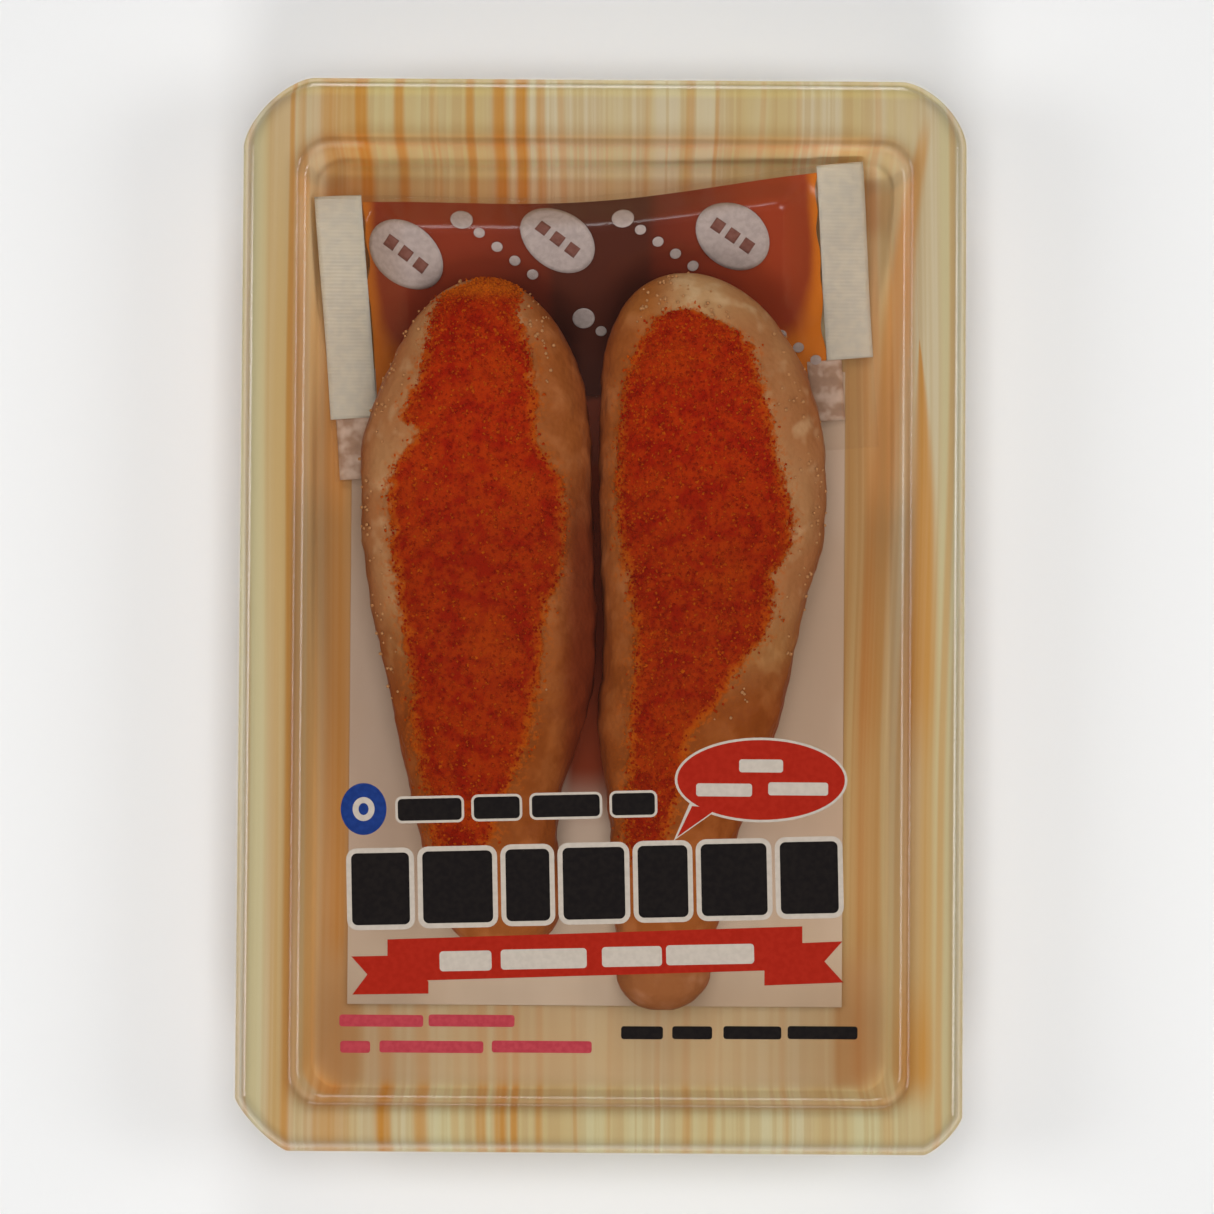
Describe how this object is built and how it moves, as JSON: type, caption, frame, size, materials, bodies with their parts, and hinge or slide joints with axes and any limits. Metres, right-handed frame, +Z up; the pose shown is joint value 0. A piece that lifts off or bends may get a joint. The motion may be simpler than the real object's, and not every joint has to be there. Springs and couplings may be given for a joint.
{
  "type": "packed mentaiko with sauce sachet",
  "caption": "Shut retail pack of chili-seasoned pollack roe sacs with a sauce sachet, in a wood-grain foam tray under a clear press-on lid.",
  "frame": {"origin": "middle of the pack's outline on the surface that the tray rests on", "axes": "+Z up through the lid; +Y along the length towards the end with the sachet; +X across, to the right from above"},
  "size_m": [0.1032, 0.1528, 0.0252],
  "materials": {
    "tray_foam": "satin printed foam with streaks of wood grain",
    "lid_clear": "clear and glossy, with printed fields",
    "liner_sheet": "matte sheet",
    "sachet_sauce": "clear film over dark sauce, white seal bands",
    "roe_skin": "moist skin under a coat of chili flakes"
  },
  "bodies": {
    "root": {"tray": "tray_foam", "lid": "lid_clear", "liner": "liner_sheet", "sauce_sachet": "sachet_sauce", "roe_left": "roe_skin", "roe_right": "roe_skin"}
  },
  "joints": []
}
